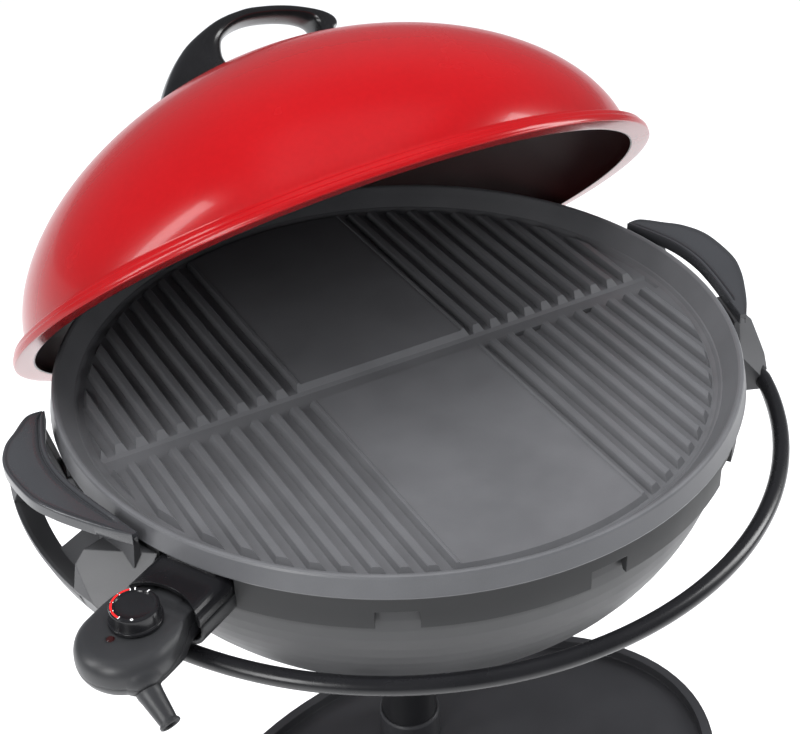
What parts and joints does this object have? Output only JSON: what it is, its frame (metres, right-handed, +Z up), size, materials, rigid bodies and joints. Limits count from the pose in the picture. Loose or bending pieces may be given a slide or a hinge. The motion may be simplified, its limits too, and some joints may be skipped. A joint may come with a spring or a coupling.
{
  "type": "electric grill with lid on a stand",
  "caption": "Round electric grill on a pedestal stand with a ribbed plate, a lift-off domed lid hung behind it, side handles, a front hoop and a pull-out thermostat.",
  "frame": {"origin": "centre of the underside of the base pad, on the floor and on the pole's axis", "axes": "+Z up along the pole, +X towards the right-hand handle, -Y towards the user in front of the hoop"},
  "size_m": [0.5808, 0.5662, 1.0192],
  "materials": {
    "lid_red": "gloss enamel, dark maroon inside",
    "plate_grey": "matt non-stick coating",
    "bowl_grey": "fine satin texture",
    "ring_dark": "satin",
    "handle_grey": "semi-gloss moulded",
    "handle_black": "gloss moulded",
    "black_metal": "satin powder coat",
    "stat_grey": "satin moulded",
    "dial_black": "gloss with a red arc and white marks",
    "lens_red": "unlit pilot lens",
    "rubber_black": "matt",
    "steel": "plain",
    "element_steel": "heat-tinted",
    "contact_brass": "plain",
    "pan_metal": "pressed sheet",
    "foot_plate_grey": "satin",
    "shelf_black": "satin",
    "stand_black": "satin"
  },
  "bodies": {
    "root": {"base_pad": "rubber_black", "base_plate": "stand_black", "pole_lower": "black_metal", "pole_coupling": "steel", "pole_upper": "black_metal", "shelf": "shelf_black", "shelf_collar": "ring_dark", "head_flange": "black_metal", "flange_screws": "steel", "bowl": "bowl_grey", "rim_ring": "ring_dark", "socket_housing": "ring_dark", "left_handle_wing": "handle_grey", "left_handle_rail": "handle_grey", "right_handle_wing": "handle_grey", "right_handle_rail": "handle_grey", "handle_screws": "steel", "hoop": "black_metal", "lid_holder": "black_metal", "holder_screws": "steel"},
    "plate": {"grill_plate": "plate_grey", "heating_element": "element_steel", "terminal_pins": "steel", "shroud": "ring_dark", "shroud_screws": "steel"},
    "thermostat": {"thermostat_lower": "stat_grey", "thermostat_upper": "stat_grey", "probe": "steel", "pin_contacts": "contact_brass", "pilot_lens": "lens_red", "cord_sleeve": "rubber_black"},
    "dial": {"dial": "dial_black", "dial_shaft": "steel"},
    "lid": {"lid_dome": "lid_red", "lid_handle": "handle_black", "lid_foot_plate": "foot_plate_grey", "lid_screws": "steel"},
    "pan": {"drip_pan": "pan_metal"}
  },
  "joints": [
    {"name": "plate_lift", "type": "slide", "parent": "root", "child": "plate", "axis": [0, 0, 1], "range_m": [0, 0.025]},
    {"name": "thermostat_pull", "type": "slide", "parent": "plate", "child": "thermostat", "axis": [-0.866, -0.5, 0], "range_m": [0, 0.06]},
    {"name": "dial_turn", "type": "hinge", "parent": "thermostat", "child": "dial", "pos_m": [-0.25678, -0.14825, 0.783], "axis": [0, 0, 1], "range_deg": [0, 270]},
    {"name": "lid_lift", "type": "slide", "parent": "root", "child": "lid", "axis": [0, 0.6858, 0.7278], "range_m": [0, 0.25]},
    {"name": "pan_lift", "type": "slide", "parent": "root", "child": "pan", "axis": [0, 0, 1], "range_m": [0, 0.1]}
  ]
}
